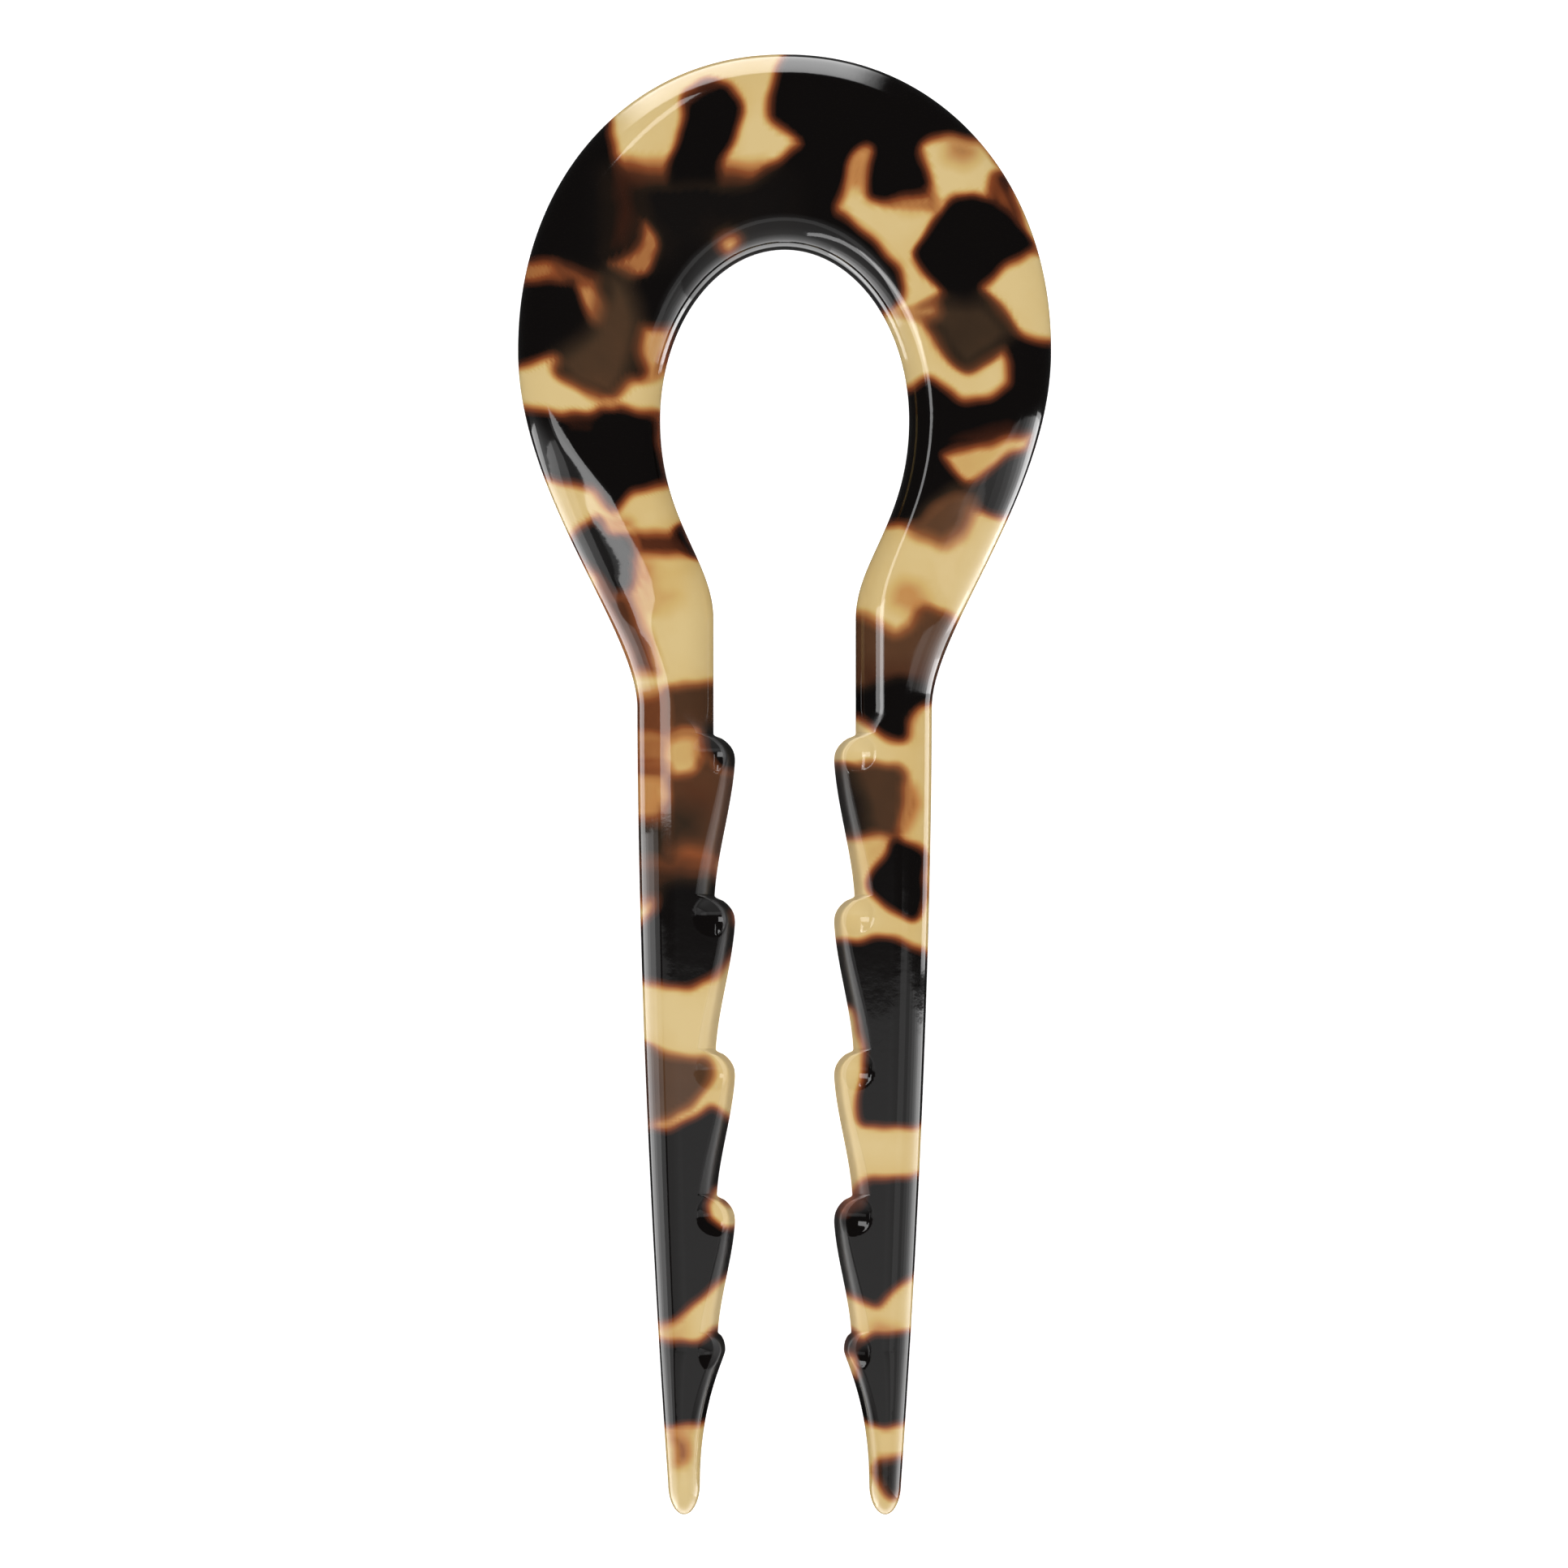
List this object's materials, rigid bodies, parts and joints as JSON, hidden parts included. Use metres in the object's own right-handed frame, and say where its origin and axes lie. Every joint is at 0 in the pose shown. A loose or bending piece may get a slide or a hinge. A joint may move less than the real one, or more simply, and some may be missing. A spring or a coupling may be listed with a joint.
{
  "type": "french hair pin",
  "caption": "Flat horseshoe hair pin of polished tortoiseshell acetate, with barbs along the inner edges of its legs that grip a twist of hair.",
  "frame": {"origin": "centre of the pin's outline, on its back face", "axes": "+X across the legs, +Y from the tips of the legs to the crown of the head, +Z out of the front face"},
  "size_m": [0.042, 0.115, 0.0045],
  "materials": {
    "acetate": "polished"
  },
  "bodies": {
    "root": {"hair_pin": "acetate"}
  },
  "joints": []
}
